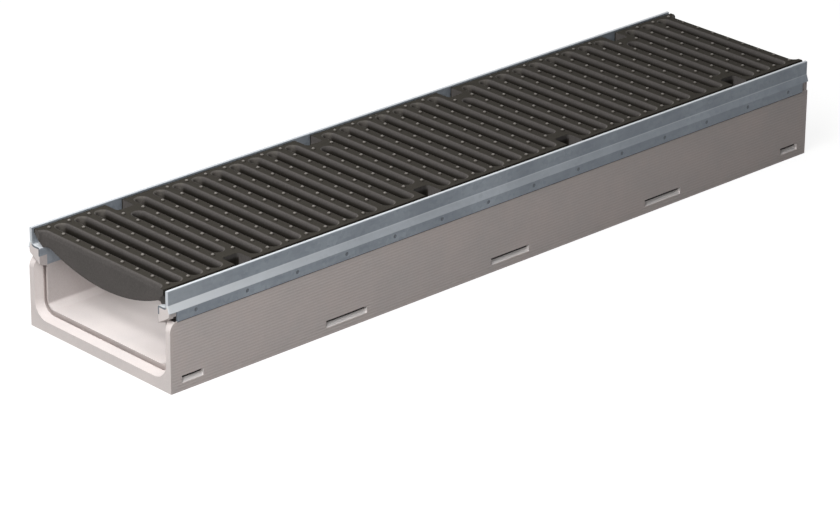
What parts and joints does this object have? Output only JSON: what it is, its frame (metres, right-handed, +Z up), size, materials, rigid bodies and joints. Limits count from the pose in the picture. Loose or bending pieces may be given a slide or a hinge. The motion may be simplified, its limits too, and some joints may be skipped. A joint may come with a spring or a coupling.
{
  "type": "channel drain",
  "caption": "Straight channel drain: a concrete trough with folded steel edge rails carries slotted iron gratings, and its socket and spigot ends meet the next length.",
  "frame": {"origin": "centre of the underside's box, spigot included", "axes": "+X along the channel towards the spigot end, +Y across the channel, +Z up"},
  "size_m": [1.0084, 0.2392, 0.1202],
  "materials": {
    "concrete": "matt, finely pitted, off-form",
    "galvanised_steel": "dull zinc",
    "ductile_iron": "dark dip coat, satin"
  },
  "bodies": {
    "root": {"channel_body": "concrete", "edge_rail_front": "galvanised_steel", "edge_rail_back": "galvanised_steel", "grating_near": "ductile_iron", "grating_far": "ductile_iron"}
  },
  "joints": []
}
